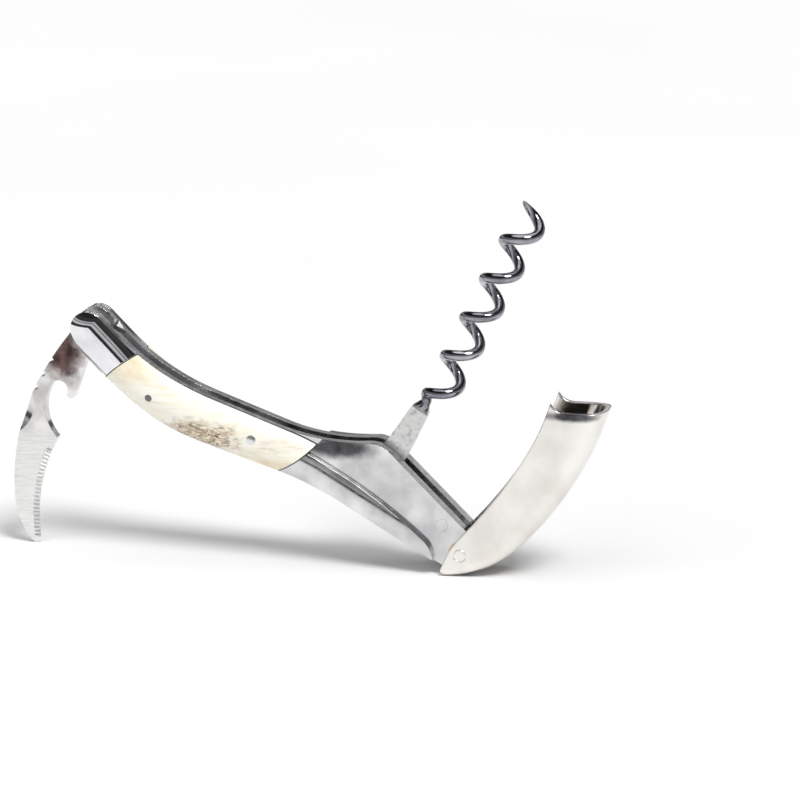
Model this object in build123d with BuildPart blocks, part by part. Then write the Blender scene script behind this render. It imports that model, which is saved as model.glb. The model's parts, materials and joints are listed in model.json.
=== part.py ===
"""Waiters corkscrew with a foil blade, a five-turn worm and a single lever.

Millimetres. +Z is up and the knife stands half open on the blade's tip and the lever's heel.
X runs from the head (blade end, -X) to the tail (lever end, +X). Y is the thickness, and Y = 0
is the middle of the knife. Side views are drawn as (X, Z) and extruded along Y. "Left" is the
-Y side, as seen from the lever end.
"""
from build123d import *
from math import cos, radians, sin
import os

os.makedirs("parts", exist_ok=True)

# ---------------------------------------------------------------- driving dimensions
BLADE_PIVOT = (-54.2, 56.6)
WORM_PIVOT = (20.2, 26.0)
LEVER_PIVOT = (40.0, 5.5)
REAR_PIN_AT = (35.2, 12.5)
FRONT_RIVET_AT = (-38.2, 40.9)
SPRING_PIN_AT = (-12.2, 31.7)

SLOT = 3.5                # gap between the liners, which the tools fold into
LINER = 2.0               # liner thickness
FIBRE = 0.4               # black sheet under each bone scale
PLATE = 1.35              # flat of the rear bolster, outside the liner
IN_LINER = SLOT / 2
OUT_LINER = IN_LINER + LINER
OUT_PLATE = OUT_LINER + PLATE
BARREL = 7.0              # radius of the rounded section of the handle
FIT = 0.03                # radial clearance of a turning pin
SEAM = 0.25               # black line between bone and steel

HEAD = (-54.0, 57.2)      # middle of the round head
HEAD_R = 4.3
TAIL_R = 5.0              # round tail about the lever pin
HEAD_SLOPE = -45          # heading of the handle's top where it leaves the head
BACK_SLOPE = -20          # and along the bone

BLADE_T = 2.6
BLADE_TANG_R = 3.4        # round end of the blade about its pin
BLADE_TIP_R = 1.15
EDGE_R = 43               # hollow of the cutting edge
EDGE_HALF_T = 0.12        # half thickness left at the edge
GRIND_WIDTH = 8.6         # edge to where the grind runs out at the back
GRIND_LENGTH = 24.7       # up from the tip to the grind line
TEETH = 24
TOOTH_R = 0.32            # grooves ground into the left face
TOOTH_LENGTH = 1.4
TANG_T = 3.1              # worm's tang
TANG_R = 3.8
TANG_ANGLE = 58           # tang above +X as it stands
TANG_LENGTH = 16.5        # worm pin to the shoulder
SHOULDER = 4.5            # width of the tang at the shoulder
LEVER_OUT = 6.7           # half width over the lever
LEVER_WALL = 1.25
LEVER_IN = LEVER_OUT - LEVER_WALL

PIN_R = 1.5               # the three pivot pins and the rear pin
PIN_PROUD = 1.6           # how far the blade pin stands out from each liner
RIVET_R = 0.9
SPRING_PIN_R = 1.2

WIRE_R = 1.3              # worm wire
COIL_R = 3.35             # middle of the wire
PITCH = 10.8
TURNS = 5
COIL_FIRST = 1 / 12       # share of a turn that the neck takes up
TAPER_TURNS = 0.35        # the tip tapers over this much of a turn
WORM_ANGLE = 63.85        # coil axis above +X as it stands
WORM_OFFSET = 4.26        # coil axis to the pivot, square to the axis
COIL_START = 20.6         # pivot to the first turn, along the axis
WORM_FOLD = 91.6          # turn from standing to folded, counter-clockwise seen from -Y
SCOOP_R = 5.15            # hollow that the folded coil lies in

THROUGH = 20              # half length of a cutter that goes right through
BELOW_TIP = 6.0           # how far the grind cutters run past the blade's tip
SPARE = 4.0               # and past its edge


def side(y):
    """Side-view plane at this Y. It extrudes towards -Y."""
    return Plane.XZ.offset(-y)


def side_path(line):
    """A line drawn as (X, Z), stood up in the middle plane."""
    return Plane.XZ.from_local_coords(line)


def polar(start, angle, length, across=0.0):
    """Point at a length along an angle from start, then square to the left of it."""
    a = radians(angle)
    x = start[0] + length * cos(a) - across * sin(a)
    z = start[1] + length * sin(a) + across * cos(a)
    return (x, z)


def heading(angle):
    """Direction in the side view."""
    return (cos(radians(angle)), sin(radians(angle)))


# ---------------------------------------------------------------- side-view outlines
top_line_end = polar(LEVER_PIVOT, 45.5, TAIL_R)
tail_bottom = polar(LEVER_PIVOT, 239.5, TAIL_R)
head_top = polar(HEAD, 45, HEAD_R)
head_back = polar(HEAD, 195, HEAD_R)

with BuildSketch() as handle_outline:
    with BuildLine():
        neck_top = PolarLine(head_top, 7.0, HEAD_SLOPE)
        shoulder_top = JernArc(neck_top @ 1, neck_top % 1, 60, BACK_SLOPE - HEAD_SLOPE)
        back_top = PolarLine(shoulder_top @ 1, 18.5, direction=shoulder_top % 1)
        rise = JernArc(back_top @ 1, back_top % 1, 55, 25)
        corner = JernArc(rise @ 1, rise % 1, 7.0, -49.6)
        Line(corner @ 1, top_line_end)
        ThreePointArc(top_line_end, polar(LEVER_PIVOT, -36.5, TAIL_R), tail_bottom)
        belly_tail = PolarLine(tail_bottom, 30.0, 149.5)
        belly_full = JernArc(belly_tail @ 1, belly_tail % 1, 80, 14)
        belly_flat = PolarLine(belly_full @ 1, 20.6, direction=belly_full % 1)
        belly_rise = JernArc(belly_flat @ 1, belly_flat % 1, 45, -24.5)
        belly_neck = PolarLine(belly_rise @ 1, 12.7, direction=belly_rise % 1)
        TangentArc(belly_neck @ 1, head_back, tangent=belly_neck % 1)
        ThreePointArc(head_back, polar(HEAD, 120, HEAD_R), head_top)
    make_face()

# Curved joints between the bone and the steel at each end, drawn past the outline.
head_joint = [(-51.5, 43.4), (-45.8, 48.7), (-39.6, 52.3)]
tail_joint = [(7.0, 34.6), (0.4, 27.6), (-8.0, 22.9)]


def head_zone(shift=0.0):
    """All that lies on the head's side of the head joint."""
    low, middle, high = [(x + shift * 0.7, z - shift * 0.7) for x, z in head_joint]
    with BuildSketch() as zone:
        with BuildLine():
            ThreePointArc(low, middle, high)
            Polyline(high, (high[0], 80), (-90, 80), (-90, 30), (low[0], 30), low)
        make_face()
    return zone.sketch


def tail_zone(shift=0.0):
    """All that lies on the tail's side of the tail joint."""
    high, middle, low = [(x - shift * 0.8, z + shift * 0.6) for x, z in tail_joint]
    with BuildSketch() as zone:
        with BuildLine():
            ThreePointArc(high, middle, low)
            Polyline(low, (low[0], -20), (90, -20), (90, 80), (high[0], 80), high)
        make_face()
    return zone.sketch


# Everything below the step that the folded lever's edges lie along.
with BuildSketch() as lobe_zone:
    with BuildLine():
        ridge = PolarLine((-4.0, 32.2), 14.0, -29.5)
        ridge_bow = JernArc(ridge @ 1, ridge % 1, 125, -13)
        ridge_end = JernArc(ridge_bow @ 1, ridge_bow % 1, 6.5, -47.5)
        low_end = ridge_end @ 1
        Polyline(low_end, (low_end.X, -10), (-60, -10), (-60, 32.2), ridge @ 0)
    make_face()

with BuildSketch() as bone_outline:
    add(handle_outline.sketch)
    add(head_zone(SEAM), mode=Mode.SUBTRACT)
    add(tail_zone(SEAM), mode=Mode.SUBTRACT)

with BuildSketch() as fibre_outline:
    add(handle_outline.sketch)
    add(head_zone(), mode=Mode.SUBTRACT)
    add(tail_zone(), mode=Mode.SUBTRACT)

# ---------------------------------------------------------------- shared cutters
# Rounded body of the handle: a bar along its middle line, with a ball at the head.
with BuildLine() as middle_line:
    run_1 = PolarLine(HEAD, 9.4, -46.3)
    bend_1 = JernArc(run_1 @ 1, run_1 % 1, 60, 26.3)
    run_2 = PolarLine(bend_1 @ 1, 21.2, direction=bend_1 % 1)
    bend_2 = JernArc(run_2 @ 1, run_2 % 1, 60, -11)
    run_3 = PolarLine(bend_2 @ 1, 44, direction=bend_2 % 1)
middle_path = side_path(middle_line.line)

with BuildPart() as barrel:
    with BuildSketch(Plane(origin=middle_path @ 0, z_dir=middle_path % 0)):
        Circle(BARREL)
    sweep(path=middle_path)
    with Locations((HEAD[0], 0, HEAD[1])):
        Sphere(BARREL)

# Hollow that the folded coil's end lies in, across the top of the head.
folded = WORM_ANGLE + WORM_FOLD
scoop_start = polar(WORM_PIVOT, folded, 44.0, -WORM_OFFSET)
scoop_dir = Vector(cos(radians(folded)), 0, sin(radians(folded)))
with BuildPart() as scoop:
    with BuildSketch(Plane(origin=(scoop_start[0], 0, scoop_start[1]), z_dir=scoop_dir)):
        Circle(SCOOP_R)
    extrude(amount=32.5)
    fillet(scoop.faces().sort_by(Axis.X)[0].edges(), 1.2)


def cross_pin(at, radius, half_length):
    """Round pin or cutter across the knife, centred on its middle plane."""
    with BuildPart() as pin:
        with BuildSketch(side(half_length)):
            with Locations(at):
                Circle(radius)
        extrude(amount=2 * half_length)
    return pin.part


def other_side(piece, label):
    """The same piece on the far side of the knife."""
    with BuildPart() as twin:
        mirror(piece, about=Plane.XZ)
    twin.part.label = label
    return twin.part


def finish(piece, name):
    piece.label = name
    export_step(piece, f"parts/{name}.step")


def finish_pair(piece, name):
    finish(piece, f"{name}_left")
    finish(other_side(piece, f"{name}_right"), f"{name}_right")


# ---------------------------------------------------------------- handle: liners
with BuildPart() as liner:
    with BuildSketch(side(-IN_LINER)):
        add(handle_outline.sketch)
    extrude(amount=LINER)
    add(scoop.part, mode=Mode.SUBTRACT)
    for at, radius in ((BLADE_PIVOT, PIN_R), (WORM_PIVOT, PIN_R), (REAR_PIN_AT, PIN_R),
                       (LEVER_PIVOT, PIN_R + FIT), (SPRING_PIN_AT, SPRING_PIN_R),
                       (FRONT_RIVET_AT, RIVET_R)):
        add(cross_pin(at, radius, THROUGH), mode=Mode.SUBTRACT)
finish_pair(liner.part, "liner")

# ---------------------------------------------------------------- handle: head bolsters
with BuildPart() as head_bolster:
    with BuildSketch(side(-OUT_LINER)):
        add(handle_outline.sketch)
        add(head_zone(), mode=Mode.INTERSECT)
    extrude(amount=BARREL)
    add(barrel.part, mode=Mode.INTERSECT)
    add(scoop.part, mode=Mode.SUBTRACT)
    add(cross_pin(BLADE_PIVOT, PIN_R, OUT_LINER + PIN_PROUD), mode=Mode.SUBTRACT)
finish_pair(head_bolster.part, "head_bolster")

# ---------------------------------------------------------------- handle: bone scales
with BuildPart() as bone_scale:
    with BuildSketch(side(-OUT_LINER - FIBRE)):
        add(bone_outline.sketch)
    extrude(amount=BARREL)
    add(barrel.part, mode=Mode.INTERSECT)
    for at, radius in ((SPRING_PIN_AT, SPRING_PIN_R), (FRONT_RIVET_AT, RIVET_R)):
        add(cross_pin(at, radius, THROUGH), mode=Mode.SUBTRACT)
finish_pair(bone_scale.part, "bone_scale")

# Black sheet under the bone, turned up at both ends so that it shows as a line in the joints.
with BuildPart() as bone_room:
    with BuildSketch(side(-OUT_LINER - FIBRE)):
        Rectangle(400, 400)
        add(head_zone(SEAM), mode=Mode.SUBTRACT)
        add(tail_zone(SEAM), mode=Mode.SUBTRACT)
    extrude(amount=BARREL)

with BuildPart() as fibre_liner:
    with BuildSketch(side(-OUT_LINER)):
        add(fibre_outline.sketch)
    extrude(amount=BARREL)
    add(bone_room.part, mode=Mode.SUBTRACT)
    add(barrel.part, mode=Mode.INTERSECT)
    for at, radius in ((SPRING_PIN_AT, SPRING_PIN_R), (FRONT_RIVET_AT, RIVET_R)):
        add(cross_pin(at, radius, THROUGH), mode=Mode.SUBTRACT)
finish_pair(fibre_liner.part, "fibre_liner")

# ---------------------------------------------------------------- handle: rear bolsters
with BuildPart() as rear_bolster:
    with BuildSketch(side(-OUT_LINER)):
        add(handle_outline.sketch)
        add(tail_zone(), mode=Mode.INTERSECT)
        add(lobe_zone.sketch, mode=Mode.INTERSECT)
    extrude(amount=BARREL)
    add(barrel.part, mode=Mode.INTERSECT)
    with BuildSketch(side(-OUT_LINER)):
        add(handle_outline.sketch)
        add(tail_zone(), mode=Mode.INTERSECT)
        add(lobe_zone.sketch, mode=Mode.SUBTRACT)
    extrude(amount=PLATE)
    for at, radius in ((REAR_PIN_AT, PIN_R), (LEVER_PIVOT, PIN_R + FIT)):
        add(cross_pin(at, radius, THROUGH), mode=Mode.SUBTRACT)
finish_pair(rear_bolster.part, "rear_bolster")

# ---------------------------------------------------------------- handle: springs in the slot
with BuildPart() as back_spring:
    with BuildSketch(side(IN_LINER)):
        with BuildLine():
            under = Spline((-47.6, 55.3), (-44.6, 53.2), (-38.8, 47.6), (-32.0, 42.6),
                           (-24.0, 38.4), (-17.0, 33.0))
            nose = Line((-47.6, 55.3), (-50.6, 58.2))
            Line(nose @ 1, (-49.4, 64.0))
            Line((-49.4, 64.0), (-30.0, 64.0))
            over = Spline((-30.0, 44.3), (-24.0, 40.0), (-16.0, 36.0), (-6.0, 33.2),
                          tangents=[(1, -0.9), (1, -0.2)])
            Line((-30.0, 64.0), over @ 0)
            Line(over @ 1, (-5.0, 30.8))
            Line((-5.0, 30.8), (-13.5, 30.0))
            Line((-13.5, 30.0), under @ 1)
        make_face()
        add(handle_outline.sketch, mode=Mode.INTERSECT)
    extrude(amount=SLOT)
    add(scoop.part, mode=Mode.SUBTRACT)
    add(cross_pin(SPRING_PIN_AT, SPRING_PIN_R, THROUGH), mode=Mode.SUBTRACT)
finish(back_spring.part, "back_spring")

with BuildPart() as worm_spring:
    with BuildSketch(side(IN_LINER)):
        with BuildLine():
            Polyline((-1.0, 10.0), (-1.0, 25.2), (6.0, 24.2), (14.0, 21.0), (24.0, 20.2),
                     (33.0, 17.0), (38.2, 12.4), (60.0, 12.4), (60.0, -5.0), (-1.0, 10.0))
        make_face()
        add(handle_outline.sketch, mode=Mode.INTERSECT)
    extrude(amount=SLOT)
    for at, radius in ((REAR_PIN_AT, PIN_R), (LEVER_PIVOT, PIN_R + FIT)):
        add(cross_pin(at, radius, THROUGH), mode=Mode.SUBTRACT)
finish(worm_spring.part, "worm_spring")

# ---------------------------------------------------------------- handle: pins and rivets
finish(cross_pin(BLADE_PIVOT, PIN_R, OUT_LINER + PIN_PROUD), "blade_pin")
finish(cross_pin(WORM_PIVOT, PIN_R, OUT_LINER), "worm_pin")
finish(cross_pin(REAR_PIN_AT, PIN_R, OUT_PLATE), "rear_pin")

with BuildPart() as spring_pin:
    add(cross_pin(SPRING_PIN_AT, SPRING_PIN_R, THROUGH))
    add(barrel.part, mode=Mode.INTERSECT)
finish(spring_pin.part, "spring_pin")

with BuildPart() as front_rivet:
    with BuildSketch(side(-IN_LINER)):
        with Locations(FRONT_RIVET_AT):
            Circle(RIVET_R)
    extrude(amount=BARREL)
    add(barrel.part, mode=Mode.INTERSECT)
finish_pair(front_rivet.part, "front_rivet")


def washer(at, inner, outer, low, high):
    """Flat ring between two faces on the -Y side."""
    with BuildPart() as ring:
        with BuildSketch(side(-low)):
            with Locations(at):
                Circle(outer)
                Circle(inner, mode=Mode.SUBTRACT)
        extrude(amount=high - low)
    return ring.part


finish_pair(washer(BLADE_PIVOT, PIN_R, 3.0, BLADE_T / 2 + FIT, IN_LINER), "blade_washer")
finish_pair(washer(WORM_PIVOT, PIN_R, 3.6, TANG_T / 2 + FIT, IN_LINER), "worm_washer")
finish_pair(washer(LEVER_PIVOT, PIN_R + FIT, 3.0, OUT_PLATE, LEVER_IN - FIT), "lever_washer")

# ---------------------------------------------------------------- foil blade
with BuildSketch() as blade_outline:
    with BuildLine():
        tang_round = ThreePointArc(polar(BLADE_PIVOT, -28, BLADE_TANG_R),
                                   polar(BLADE_PIVOT, 60, BLADE_TANG_R),
                                   polar(BLADE_PIVOT, 156, BLADE_TANG_R))
        back_upper = JernArc(tang_round @ 1, heading(-132), 85, 13)
        back_lower = JernArc(back_upper @ 1, back_upper % 1, 56.35, 34)
        back_point = JernArc(back_lower @ 1, back_lower % 1, 17.4, 35)
        tip_round = JernArc(back_point @ 1, back_point % 1, BLADE_TIP_R, 147)
        edge = JernArc(tip_round @ 1, tip_round % 1, EDGE_R, -37)
        notch_back = ThreePointArc(edge @ 1, (-66.8, 36.0), (-64.3, 42.5))
        notch_top = ThreePointArc(notch_back @ 1, (-62.2, 42.6), (-61.0, 39.3))
        hook = ThreePointArc(notch_top @ 1, (-60.0, 38.3), (-59.0, 39.3))
        heel = Line(hook @ 1, (-54.8, 51.0))
        Line(heel @ 1, tang_round @ 0)
    make_face()

chord = (edge @ 1 - edge @ 0).normalized()
grind_plane = Plane(origin=Vector((edge @ 0).X, 0, (edge @ 0).Y), x_dir=(-chord.Y, 0, chord.X),
                    z_dir=(chord.X, 0, chord.Y))
grind_rise = (BLADE_T / 2 - EDGE_HALF_T) / GRIND_WIDTH

with BuildPart() as blade:
    with BuildSketch(side(BLADE_T / 2)):
        add(blade_outline.sketch)
        # File work: three nicks along the back.
        for nick in (back_upper @ 0.66, back_upper @ 0.88, back_lower @ 0.05):
            with Locations((nick.X, nick.Y)):
                Circle(0.75, mode=Mode.SUBTRACT)
    extrude(amount=BLADE_T)
    # Both faces fall away from the back to the edge below the grind line.
    for facing in (1, -1):
        with BuildSketch(grind_plane.offset(-BELOW_TIP)):
            with BuildLine():
                Polyline((GRIND_WIDTH, facing * BLADE_T / 2), (-SPARE, facing * BLADE_T),
                         (-SPARE, facing * (EDGE_HALF_T - SPARE * grind_rise)),
                         (GRIND_WIDTH, facing * BLADE_T / 2))
            make_face()
        extrude(amount=BELOW_TIP + GRIND_LENGTH, mode=Mode.SUBTRACT)
    # Scallops ground out of the back corner.
    with Locations((-78.4, -12.3, 36.6), (-78.4, 12.3, 36.6)):
        Sphere(14.0, mode=Mode.SUBTRACT)
    # Fine teeth along the hollow edge, each a groove that follows the ground face.
    for i in range(TEETH):
        share = 0.03 + 0.82 * i / (TEETH - 1)
        at = Vector((edge @ share).X, 0, (edge @ share).Y)
        slope = edge % share
        half_here = EDGE_HALF_T + grind_rise * grind_plane.to_local_coords(at).X
        tooth = Plane(origin=(at.X, -half_here, at.Z), x_dir=(slope.X, 0, slope.Y),
                      z_dir=(-slope.Y, -grind_rise, slope.X))
        with BuildSketch(tooth.offset(-0.5)):
            Circle(TOOTH_R)
        extrude(amount=0.5 + TOOTH_LENGTH, mode=Mode.SUBTRACT)
    add(cross_pin(BLADE_PIVOT, PIN_R + FIT, THROUGH), mode=Mode.SUBTRACT)
finish(blade.part, "foil_blade")

# ---------------------------------------------------------------- worm: tang, neck and coil
coil_foot = polar(WORM_PIVOT, WORM_ANGLE, COIL_START, -WORM_OFFSET)
axis_dir = Vector(cos(radians(WORM_ANGLE)), 0, sin(radians(WORM_ANGLE)))
left_dir = Vector(-sin(radians(WORM_ANGLE)), 0, cos(radians(WORM_ANGLE)))
coil_plane = Plane(origin=(coil_foot[0], 0, coil_foot[1]), x_dir=left_dir, z_dir=axis_dir)


def coil_run(first, last):
    """Stretch of the helix between two turn counts. Turn 0 is at the left of the axis."""
    with BuildLine() as run:
        Helix(PITCH, PITCH * (last - first), COIL_R)
    turned = run.line.rotate(Axis.Z, 360 * first)
    return coil_plane.from_local_coords(turned.moved(Location((0, 0, PITCH * first))))


coil = coil_run(COIL_FIRST, TURNS - TAPER_TURNS)
tip = coil_run(TURNS - TAPER_TURNS, TURNS)
shoulder_at = polar(WORM_PIVOT, TANG_ANGLE, TANG_LENGTH)
shoulder = Vector(shoulder_at[0], 0, shoulder_at[1])
neck_dir = Vector(cos(radians(TANG_ANGLE)), 0, sin(radians(TANG_ANGLE)))
neck_end = shoulder + neck_dir * 2.2
# Along the tang from the pin and square to it.
tang_corners = [(0, TANG_R), (6.0, 2.7), (TANG_LENGTH, SHOULDER / 2),
                (TANG_LENGTH, -SHOULDER / 2), (8.5, -3.1), (0, -TANG_R)]
tang_line = [polar(WORM_PIVOT, TANG_ANGLE, along, across) for along, across in tang_corners]

with BuildPart() as worm:
    with BuildSketch(side(TANG_T / 2)):
        with BuildLine():
            Polyline(*tang_line, tang_line[0])
        make_face()
        with Locations(WORM_PIVOT):
            Circle(TANG_R)
    extrude(amount=TANG_T)
    with BuildSketch(Plane(origin=shoulder, x_dir=(0, 1, 0), z_dir=neck_dir)):
        Rectangle(TANG_T, SHOULDER)
    with BuildSketch(Plane(origin=neck_end, x_dir=(0, 1, 0), z_dir=neck_dir)):
        Circle(WIRE_R)
    loft()
    with BuildLine() as bend:
        Spline(neck_end, coil @ 0, tangents=[neck_dir, coil % 0])
    with BuildSketch(Plane(origin=neck_end, z_dir=neck_dir)):
        Circle(WIRE_R)
    sweep(path=bend.line)
    with Locations(coil @ 0):
        Sphere(WIRE_R + 0.02)
    with BuildSketch(Plane(origin=coil @ 0, z_dir=coil % 0)):
        Circle(WIRE_R)
    sweep(path=coil, is_frenet=True)
    for share, radius in ((0, WIRE_R), (0.35, 1.08), (0.7, 0.66), (1, 0.12)):
        with BuildSketch(Plane(origin=tip @ share, z_dir=tip % share)):
            Circle(radius)
    sweep(path=tip, multisection=True, is_frenet=True)
    add(cross_pin(WORM_PIVOT, PIN_R + FIT, THROUGH), mode=Mode.SUBTRACT)
finish(worm.part, "worm")

# ---------------------------------------------------------------- lever
with BuildSketch() as lever_outline:
    with BuildLine():
        heel_edge = JernArc((35.4, 1.9), heading(72), 22, -24)
        open_low = PolarLine(heel_edge @ 1, 3.0, direction=heel_edge % 1)
        open_middle = JernArc(open_low @ 1, open_low % 1, 115, 13)
        open_high = JernArc(open_middle @ 1, open_middle % 1, 57, 12.5)
        lip = JernArc(open_high @ 1, heading(-60), 4.4, 60)
        foot = PolarLine(lip @ 1, 5.0, direction=lip % 1)
        foot_rise = JernArc(foot @ 1, foot % 1, 25, 18)
        Polyline(foot_rise @ 1, (80.0, -5.0), (36.0, -5.0), (36.0, 0.6))
        ThreePointArc((36.0, 0.6), (35.3, 1.0), heel_edge @ 0)
    make_face()

with BuildLine() as spine_line:
    spine_start = Vector(75.54, 42.9)
    spine_heading = Vector(cos(radians(-106)), sin(radians(-106)))
    spine_top = Line(spine_start - spine_heading * 4, spine_start)
    spine_long = JernArc(spine_top @ 1, spine_heading, 80, -31)
    spine_heel = JernArc(spine_long @ 1, spine_long % 1, 24, -43)
    PolarLine(spine_heel @ 1, 4.0, direction=spine_heel % 1)
spine = side_path(spine_line.line)


def channel(half_width, inset, corners):
    """Bar along the lever's spine, with its outer corners rounded less towards the heel."""
    with BuildPart() as bar:
        for share, corner in corners:
            with BuildSketch(Plane(origin=spine @ share, x_dir=(0, 1, 0),
                                   z_dir=spine % share)) as section:
                with Locations((0, -inset)):
                    Rectangle(2 * half_width, 19, align=(Align.CENTER, Align.MAX))
                fillet(section.vertices().group_by(Axis.Y)[-1], corner)
        sweep(path=spine, multisection=True)
    return bar.part


with BuildPart() as lever:
    with BuildSketch(side(LEVER_OUT)):
        add(lever_outline.sketch)
    extrude(amount=2 * LEVER_OUT)
    add(channel(LEVER_OUT, 0, ((0, 5.2), (0.6, 4.6), (1, 0.6))), mode=Mode.INTERSECT)
    add(channel(LEVER_IN, LEVER_WALL, ((0, 4.0), (0.6, 3.4), (1, 0.3))), mode=Mode.SUBTRACT)
    # The web stops short of the round tail, so that the lever turns clear of it.
    with BuildSketch(side(LEVER_IN)):
        with Locations(LEVER_PIVOT):
            Circle(TAIL_R + 1.2)
        with Locations((45.0, -3.0)):
            Rectangle(20, 14, align=(Align.MAX, Align.MIN))
    extrude(amount=2 * LEVER_IN, mode=Mode.SUBTRACT)
    # Tight on the pin, which is riveted into the lever and turns in the handle.
    add(cross_pin(LEVER_PIVOT, PIN_R, THROUGH), mode=Mode.SUBTRACT)
finish(lever.part, "lever")
finish(cross_pin(LEVER_PIVOT, PIN_R, LEVER_OUT), "lever_pin")
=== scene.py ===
"""Looks for the waiters corkscrew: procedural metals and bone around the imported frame.

Metres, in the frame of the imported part: +X from head to tail, Y across the thickness, +Z up.
"""

import json
import math

import bpy
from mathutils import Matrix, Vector


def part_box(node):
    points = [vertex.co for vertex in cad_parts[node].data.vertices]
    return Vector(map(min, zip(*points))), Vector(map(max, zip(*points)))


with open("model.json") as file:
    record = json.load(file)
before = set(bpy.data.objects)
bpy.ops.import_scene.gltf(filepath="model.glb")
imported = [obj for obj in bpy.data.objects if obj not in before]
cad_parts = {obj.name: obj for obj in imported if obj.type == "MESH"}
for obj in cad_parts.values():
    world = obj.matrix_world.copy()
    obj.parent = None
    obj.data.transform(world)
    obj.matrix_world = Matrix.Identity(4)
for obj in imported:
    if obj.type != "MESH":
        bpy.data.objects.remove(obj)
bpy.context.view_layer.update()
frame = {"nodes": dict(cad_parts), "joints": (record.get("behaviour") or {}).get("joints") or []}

MM = 0.001

# Floor
FLOOR_SIZE = 6.0
FLOOR_DROP = 0.05 * MM            # keeps the floor clear of the blade's tip and the lever's heel

# Camera: a long lens a little above the knife and to the tail's side of it.
CAMERA_TARGET = Vector((23.75, 0.0, 42.1)) * MM
CAMERA_DISTANCE = 753.7 * MM
CAMERA_AZIMUTH = math.radians(12.4)
CAMERA_ELEVATION = math.radians(14.1)
CAMERA_LENS = 139.05
CAMERA_CLIP = 10 * MM

# Surfaces. Noise scales are in features per metre.
EDGE_ROUNDING = 0.15 * MM         # how round polishing makes an edge look
LEVER_ROUNDING = 0.55 * MM
SCRATCH_DEPTH = 0.02 * MM
BONE_GRAIN_DEPTH = 0.06 * MM
BEVEL_SAMPLES = 4
BREAKUP_SCALE = 420               # noise that breaks up the edge of a patch
THROUGH = 20 * MM                 # a patch's reach in Y, past the far side
BLADE_HALF = 1.3 * MM             # half the blade's thickness
GROUND_TOP = 0.433                # where the ground part ends, as a part of the blade's height
POLISH_BOTTOM = 0.550             # where the polished part starts
TANG_REACH = 18 * MM              # from the worm's pivot to where the plating starts
MIX_FIRST, MIX_SECOND, MIX_RESULT = 6, 7, 2      # the Mix node's colour sockets

# The room that the metal mirrors: brightness against height, which is 0 at the horizon and
# below it, and 1 overhead. It is bright with dark bands, as round a light tent.
ROOM_BANDS = [(0.00, 0.04), (0.12, 0.02), (0.16, 0.60), (0.25, 0.60), (0.29, 0.01), (0.33, 0.55),
              (0.37, 0.60), (0.40, 0.03), (0.58, 0.05), (0.62, 0.02), (0.84, 0.02), (0.88, 1.10),
              (0.95, 1.50), (1.00, 1.50)]
ROOM_STRENGTH = 0.95
ROOM_BLUE = 1.01                  # blue against red and green


# ---------------------------------------------------------------- places on the knife
def spot(piece, along, up, deep):
    """A place, as parts of the way along and up a piece's box, and this deep in its near side."""
    low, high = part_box(piece)
    return (low.x + along * (high.x - low.x), low.y + deep, low.z + up * (high.z - low.z))


def pivot(name):
    """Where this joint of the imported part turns."""
    return next(joint["pos_m"] for joint in frame["joints"] if joint["name"] == name)


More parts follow.
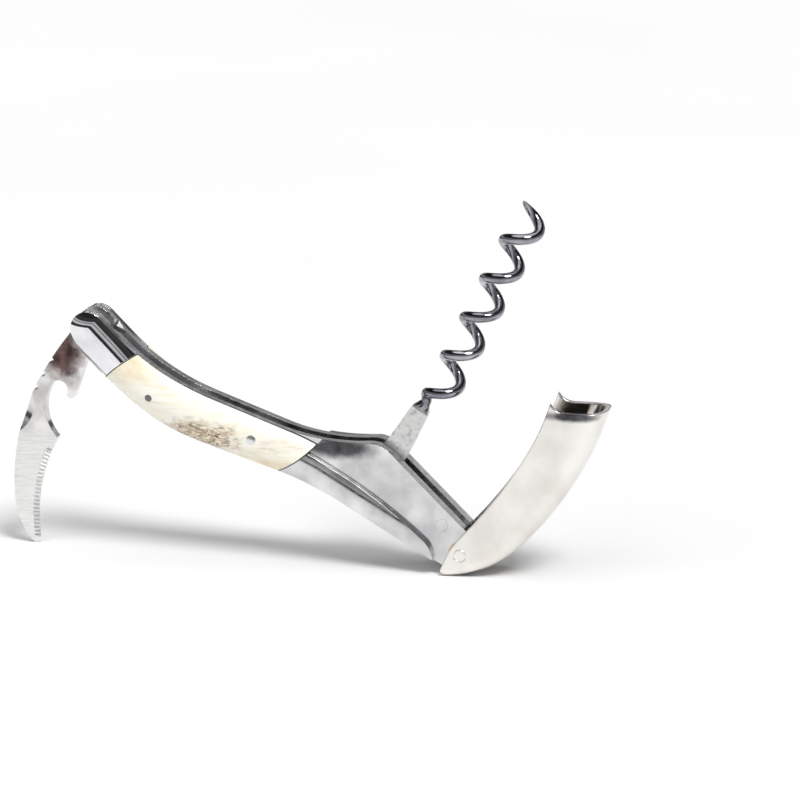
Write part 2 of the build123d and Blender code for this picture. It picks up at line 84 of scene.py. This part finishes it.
# ---------------------------------------------------------------- node helpers
class Shader:
    """A material's node tree with short ways to add and join nodes."""

    def __init__(self, name):
        self.material = bpy.data.materials.new(name)
        self.material.use_nodes = True
        self.tree = self.material.node_tree
        self.bsdf = self.tree.nodes["Principled BSDF"]
        self.place = self.tree.nodes.new("ShaderNodeTexCoord").outputs["Object"]

    def new(self, kind, **settings):
        node = self.tree.nodes.new(kind)
        for key, value in settings.items():
            setattr(node, key, value)
        return node

    def link(self, source, target):
        self.tree.links.new(source, target)

    def fixed(self, **values):
        """Sets the same value all over the surface. An underscore stands for a space."""
        for key, value in values.items():
            self.bsdf.inputs[key.replace("_", " ")].default_value = value

    def stretched(self, scale, turn=0.0):
        """Object coordinates scaled on each axis, then turned about Y by these degrees.

        The scale comes first, so streaks run along the axis with the smallest scale whatever the
        turn is. The turn only picks another part of the noise.
        """
        node = self.new("ShaderNodeMapping")
        node.inputs["Rotation"].default_value = (0.0, math.radians(turn), 0.0)
        node.inputs["Scale"].default_value = scale
        self.link(self.place, node.inputs["Vector"])
        return node.outputs["Vector"]

    def noise(self, scale=1.0, detail=4.0, vector=None, distortion=0.0):
        """Even noise of this scale, or with stretched coordinates a streaked one."""
        node = self.new("ShaderNodeTexNoise")
        node.inputs["Scale"].default_value = scale
        node.inputs["Detail"].default_value = detail
        node.inputs["Distortion"].default_value = distortion
        self.link(vector or self.place, node.inputs["Vector"])
        return node.outputs["Fac"]

    def ramp(self, value, stops):
        """Turns a value into a colour. A stop is a position and a colour, or a number for grey."""
        node = self.new("ShaderNodeValToRGB")
        elements = node.color_ramp.elements
        while len(elements) < len(stops):
            elements.new(0.5)
        for element, (position, colour) in zip(elements, stops):
            rgb = colour if isinstance(colour, tuple) else (colour,) * 3
            element.position = position
            element.color = (*rgb, 1.0)
        self.link(value, node.inputs["Fac"])
        return node.outputs["Color"]

    def mix(self, factor, first, second):
        """The first colour where the factor is 0 and the second where it is 1."""
        node = self.new("ShaderNodeMix", data_type="RGBA")
        self.link(factor, node.inputs["Factor"])
        self.link(first, node.inputs[MIX_FIRST])
        self.link(second, node.inputs[MIX_SECOND])
        return node.outputs[MIX_RESULT]

    def near(self, centre, reach, ragged=0.0, inner=0.35):
        """1 at a place on the knife, falling to 0 at its reach on each axis.

        It starts to fall at the inner part of the reach. Ragged is how far noise moves the edge.
        """
        move = self.new("ShaderNodeMapping")
        move.inputs["Location"].default_value = [-c / r for c, r in zip(centre, reach)]
        move.inputs["Scale"].default_value = [1.0 / r for r in reach]
        self.link(self.place, move.inputs["Vector"])
        length = self.new("ShaderNodeVectorMath", operation="LENGTH")
        self.link(move.outputs["Vector"], length.inputs[0])
        distance = length.outputs["Value"]
        if ragged:
            wobble = self.new("ShaderNodeMath", operation="MULTIPLY_ADD")
            self.link(self.noise(BREAKUP_SCALE, detail=5), wobble.inputs[0])
            wobble.inputs[1].default_value = ragged
            self.link(distance, wobble.inputs[2])
            distance = wobble.outputs["Value"]
        fade = self.new("ShaderNodeMapRange", interpolation_type="SMOOTHSTEP")
        self.link(distance, fade.inputs["Value"])
        fade.inputs["From Min"].default_value = 1.0 + ragged / 2
        fade.inputs["From Max"].default_value = inner + ragged / 2
        return fade.outputs["Result"]

    def bump(self, height, strength, depth=SCRATCH_DEPTH, rounding=EDGE_ROUNDING):
        """Relief from a noise on top of softly rounded edges."""
        bevel = self.new("ShaderNodeBevel", samples=BEVEL_SAMPLES)
        bevel.inputs["Radius"].default_value = rounding
        node = self.new("ShaderNodeBump")
        node.inputs["Strength"].default_value = strength
        node.inputs["Distance"].default_value = depth
        self.link(height, node.inputs["Height"])
        self.link(bevel.outputs["Normal"], node.inputs["Normal"])
        self.link(node.outputs["Normal"], self.bsdf.inputs["Normal"])


# ---------------------------------------------------------------- materials
def steel(name, light, dark, rough, grain=(300, 300, 300), turn=0.0, strength=0.05,
          rounding=EDGE_ROUNDING, painted_dark_reflection=None):
    """Bare or plated metal with soft tarnish, uneven polish and fine scratches.

    Rough is the roughness of the polished and of the scratched parts. The last argument is the
    centre and the reach of a painted dark reflection, a dark patch painted into the colour.
    """
    s = Shader(name)
    s.fixed(Metallic=1.0)
    colour = s.ramp(s.noise(120, detail=6), [(0.35, dark), (0.62, light)])
    # painted dark reflection: darkens the base colour in a patch, standing in for something dark
    # that the metal mirrors
    if painted_dark_reflection:
        centre, reach = painted_dark_reflection
        deep = s.ramp(s.noise(300, detail=4), [(0.3, 0.03), (0.7, (0.12, 0.12, 0.13))])
        colour = s.mix(s.near(centre, reach, ragged=0.4), colour, deep)
    s.link(colour, s.bsdf.inputs["Base Color"])
    scratches = s.noise(detail=5, vector=s.stretched(grain, turn))
    polished, scratched = rough
    s.link(s.ramp(scratches, [(0.3, polished), (0.75, scratched)]), s.bsdf.inputs["Roughness"])
    s.bump(scratches, strength, rounding=rounding)
    return s


def bone():
    """Polished bone: cream with long streaks, honey at the edges and one brown porous patch."""
    s = Shader("bone")
    streaks = s.noise(detail=7, vector=s.stretched((90, 500, 900), turn=25), distortion=0.6)
    cream = s.ramp(streaks, [(0.28, (0.78, 0.70, 0.52)), (0.43, (0.87, 0.83, 0.71)),
                             (0.66, (0.92, 0.90, 0.82))])
    honey = s.ramp(s.noise(260, detail=5), [(0.3, (0.74, 0.63, 0.43)), (0.7, (0.90, 0.84, 0.69))])
    pores = s.noise(detail=9, vector=s.stretched((600, 1200, 1500), turn=25), distortion=1.0)
    brown = s.ramp(pores, [(0.36, (0.13, 0.08, 0.06)), (0.48, (0.48, 0.37, 0.25)),
                           (0.62, (0.82, 0.74, 0.58))])
    grey = s.ramp(streaks, [(0.35, (0.50, 0.46, 0.38)), (0.62, (0.86, 0.81, 0.70))])

    # colour, place along and up the scale, reach in X and Z, ragged edge
    patches = [
        (honey, 0.161, 0.921, 11.0 * MM, 6.0 * MM, 0.8),      # the head's end, at the top
        (honey, 0.707, 0.016, 26.0 * MM, 3.8 * MM, 0.9),      # the lower edge
        (brown, 0.443, 0.286, 14.5 * MM, 5.4 * MM, 1.0),      # the middle
        (grey, 0.838, 0.238, 8.0 * MM, 2.2 * MM, 0.9),        # the tail's end
    ]
    colour = cream
    for tint, along, up, reach_x, reach_z, ragged in patches:
        centre = spot("bone_scale_left", along, up, deep=1 * MM)
        colour = s.mix(s.near(centre, (reach_x, THROUGH, reach_z), ragged), colour, tint)
    s.link(colour, s.bsdf.inputs["Base Color"])

    s.link(s.ramp(streaks, [(0.3, 0.42), (0.7, 0.24)]), s.bsdf.inputs["Roughness"])
    s.fixed(Subsurface_Weight=0.12, Subsurface_Scale=1.2 * MM, Coat_Weight=0.35,
            Coat_Roughness=0.12)
    grain = s.noise(detail=8, vector=s.stretched((400, 1500, 2600), turn=25))
    s.bump(grain, strength=0.18, depth=BONE_GRAIN_DEPTH)
    return s


def fibre():
    """Pressed black sheet."""
    s = Shader("black_fibre")
    grain = s.noise(3000, detail=4)
    s.link(s.ramp(grain, [(0.3, 0.006), (0.7, (0.028, 0.026, 0.025))]),
           s.bsdf.inputs["Base Color"])
    s.fixed(Roughness=0.62)
    s.bump(grain, strength=0.2)
    return s


def blade_steel():
    """Brushed steel. The ground part is satin, the hook is light, and the tang is red-black."""
    s = Shader("blade_steel")
    s.fixed(Metallic=1.0)
    brushed = s.noise(detail=4, vector=s.stretched((180, 180, 5200)))
    ground = s.ramp(brushed, [(0.3, (0.66, 0.66, 0.65)), (0.7, (0.92, 0.92, 0.90))])
    light = s.ramp(s.noise(160, detail=5), [(0.35, (0.52, 0.50, 0.49)), (0.60, (0.80, 0.79, 0.78))])
    deep = s.ramp(s.noise(220, detail=4), [(0.35, (0.05, 0.03, 0.03)), (0.65, (0.20, 0.13, 0.12))])
    tang = s.near(spot("foil_blade", 0.527, 0.842, deep=BLADE_HALF),
                  (8 * MM, THROUGH, 11 * MM), ragged=0.7)
    polished = s.mix(tang, light, deep)

    split = s.new("ShaderNodeSeparateXYZ")
    s.link(s.place, split.inputs[0])
    fade = s.new("ShaderNodeMapRange", interpolation_type="SMOOTHSTEP")
    s.link(split.outputs["Z"], fade.inputs["Value"])
    low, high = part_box("foil_blade")
    height = high.z - low.z
    fade.inputs["From Min"].default_value = low.z + GROUND_TOP * height
    fade.inputs["From Max"].default_value = low.z + POLISH_BOTTOM * height
    upper = fade.outputs["Result"]

    s.link(s.mix(upper, ground, polished), s.bsdf.inputs["Base Color"])
    rough = s.mix(upper, s.ramp(brushed, [(0.3, 0.24), (0.7, 0.40)]),
                  s.ramp(brushed, [(0.3, 0.10), (0.7, 0.20)]))
    s.link(rough, s.bsdf.inputs["Roughness"])
    s.bump(brushed, strength=0.14)
    return s


def worm_steel():
    """Dark bright nickel on the coil and neck, satin steel on the tang."""
    s = Shader("worm_steel")
    s.fixed(Metallic=1.0)
    tang = s.near(pivot("worm_hinge"), (TANG_REACH,) * 3, inner=0.92)
    mottle = s.noise(150, detail=5)
    plated = s.ramp(mottle, [(0.35, (0.20, 0.20, 0.23)), (0.65, (0.44, 0.43, 0.47))])
    bare = s.ramp(s.noise(700, detail=6), [(0.30, 0.38), (0.48, (0.66, 0.66, 0.65))])
    s.link(s.mix(tang, plated, bare), s.bsdf.inputs["Base Color"])
    brushed = s.noise(detail=4, vector=s.stretched((260, 260, 1500), turn=32))
    rough = s.mix(tang, s.ramp(mottle, [(0.3, 0.04), (0.7, 0.12)]),
                  s.ramp(brushed, [(0.3, 0.22), (0.7, 0.40)]))
    s.link(rough, s.bsdf.inputs["Roughness"])
    s.bump(brushed, strength=0.05)
    return s


mirror = steel("mirror_steel", light=(0.84, 0.84, 0.86), dark=(0.62, 0.61, 0.65),
               rough=(0.03, 0.10))
satin = steel("satin_steel", light=(0.42, 0.42, 0.43), dark=(0.14, 0.14, 0.15),
              rough=(0.20, 0.42), grain=(500, 500, 2600), turn=25, strength=0.2)
# its dark patch is a painted dark reflection near the top of the rear bolster, towards the head
plate = steel("plate_steel", light=(0.74, 0.74, 0.73), dark=(0.50, 0.50, 0.51),
              rough=(0.10, 0.24), grain=(300, 300, 1800), turn=40, strength=0.03,
              painted_dark_reflection=(spot("rear_bolster_left", 0.287, 0.948, deep=2 * MM),
                     (13 * MM, THROUGH, 3.6 * MM)))
liner = steel("liner_steel", light=(0.80, 0.80, 0.80), dark=(0.52, 0.52, 0.53),
              rough=(0.12, 0.30), grain=(400, 400, 1400), turn=25, strength=0.06)
# its dark patch is a painted dark reflection near the top of the lever, under the foot rim
pale = steel("lever_steel", light=(0.84, 0.82, 0.78), dark=(0.72, 0.69, 0.65),
             rough=(0.05, 0.14), rounding=LEVER_ROUNDING,
             painted_dark_reflection=(spot("lever", 0.793, 0.935, deep=0), (9.8 * MM, 6.0 * MM, 1.7 * MM)))
pin_steel = steel("pin_steel", light=(0.76, 0.76, 0.76), dark=(0.55, 0.55, 0.55),
                  rough=(0.12, 0.28))
dark_pin = steel("dark_pin_steel", light=(0.22, 0.22, 0.22), dark=(0.10, 0.10, 0.10),
                 rough=(0.20, 0.40))
bronze = steel("bronze", light=(0.72, 0.52, 0.26), dark=(0.50, 0.33, 0.14), rough=(0.22, 0.42))

LOOKS = {
    "liner": liner,
    "head_bolster": mirror,
    "rear_bolster": plate,
    "bone_scale": bone(),
    "fibre_liner": fibre(),
    "back_spring": satin,
    "worm_spring": satin,
    "blade_pin": pin_steel,
    "worm_pin": pin_steel,
    "rear_pin": pin_steel,
    "spring_pin": pin_steel,
    "front_rivet": dark_pin,
    "blade_washer": bronze,
    "worm_washer": bronze,
    "lever_washer": bronze,
    "foil_blade": blade_steel(),
    "worm": worm_steel(),
    "lever": pale,
    "lever_pin": pale,
}
for name, node in frame["nodes"].items():
    look = LOOKS[name.removesuffix("_left").removesuffix("_right")]
    node.data.materials.clear()
    node.data.materials.append(look.material)


# ---------------------------------------------------------------- studio
def floor():
    """Plain and pale, wide enough to have no edge in the camera's view."""
    bpy.ops.mesh.primitive_plane_add(size=FLOOR_SIZE, location=(0, 0, -FLOOR_DROP))
    plane = bpy.context.object
    plane.name = "floor"
    s = Shader("floor")
    s.link(s.ramp(s.noise(3, detail=2), [(0.3, 0.86), (0.7, 0.89)]), s.bsdf.inputs["Base Color"])
    s.fixed(Roughness=0.6)
    plane.data.materials.append(s.material)


def studio_light():
    """White to look at, and the banded room to everything else."""
    world = bpy.data.worlds.new("studio")
    bpy.context.scene.world = world
    world.use_nodes = True
    nodes = world.node_tree.nodes
    links = world.node_tree.links
    split = nodes.new("ShaderNodeSeparateXYZ")
    links.new(nodes.new("ShaderNodeTexCoord").outputs["Generated"], split.inputs[0])
    bands = nodes.new("ShaderNodeValToRGB")
    elements = bands.color_ramp.elements
    while len(elements) < len(ROOM_BANDS):
        elements.new(0.5)
    for element, (height, level) in zip(elements, ROOM_BANDS):
        element.position = height
        element.color = (level, level, level * ROOM_BLUE, 1.0)
    links.new(split.outputs["Z"], bands.inputs["Fac"])
    room = nodes["Background"]
    links.new(bands.outputs["Color"], room.inputs["Color"])
    room.inputs["Strength"].default_value = ROOM_STRENGTH
    white = nodes.new("ShaderNodeBackground")
    white.inputs["Color"].default_value = (1.0, 1.0, 1.0, 1.0)
    choose = nodes.new("ShaderNodeMixShader")
    links.new(nodes.new("ShaderNodeLightPath").outputs["Is Camera Ray"], choose.inputs["Fac"])
    links.new(room.outputs[0], choose.inputs[1])
    links.new(white.outputs[0], choose.inputs[2])
    links.new(choose.outputs[0], nodes["World Output"].inputs["Surface"])


def sun(name, place, spread, strength, mirrored=True):
    """Even light over the whole floor from the direction of this place, spread in degrees.

    One that isn't mirrored lights the knife without showing in its polished parts.
    """
    light = bpy.data.lights.new(name, "SUN")
    light.angle = math.radians(spread)
    light.energy = strength
    holder = bpy.data.objects.new(name, light)
    holder.location = place
    holder.visible_glossy = mirrored
    aim = CAMERA_TARGET - Vector(place)
    holder.rotation_euler = aim.to_track_quat("-Z", "Y").to_euler()
    bpy.context.scene.collection.objects.link(holder)


def camera():
    """Looks at the target from the camera's distance, azimuth and elevation."""
    lens = bpy.data.cameras.new("camera")
    lens.lens = CAMERA_LENS
    lens.clip_start = CAMERA_CLIP
    holder = bpy.data.objects.new("camera", lens)
    level = math.cos(CAMERA_ELEVATION)
    away = Vector((math.sin(CAMERA_AZIMUTH) * level, -math.cos(CAMERA_AZIMUTH) * level,
                   math.sin(CAMERA_ELEVATION)))
    holder.location = CAMERA_TARGET + away * CAMERA_DISTANCE
    holder.rotation_euler = (-away).to_track_quat("-Z", "Y").to_euler()
    bpy.context.scene.collection.objects.link(holder)
    bpy.context.scene.camera = holder


floor()
studio_light()
sun("key", place=(0.30, -0.24, 0.62), spread=22.0, strength=2.4)
sun("fill", place=(-0.35, -0.55, 0.60), spread=60.0, strength=0.9, mirrored=False)
camera()
bpy.context.scene.view_settings.view_transform = "Standard"
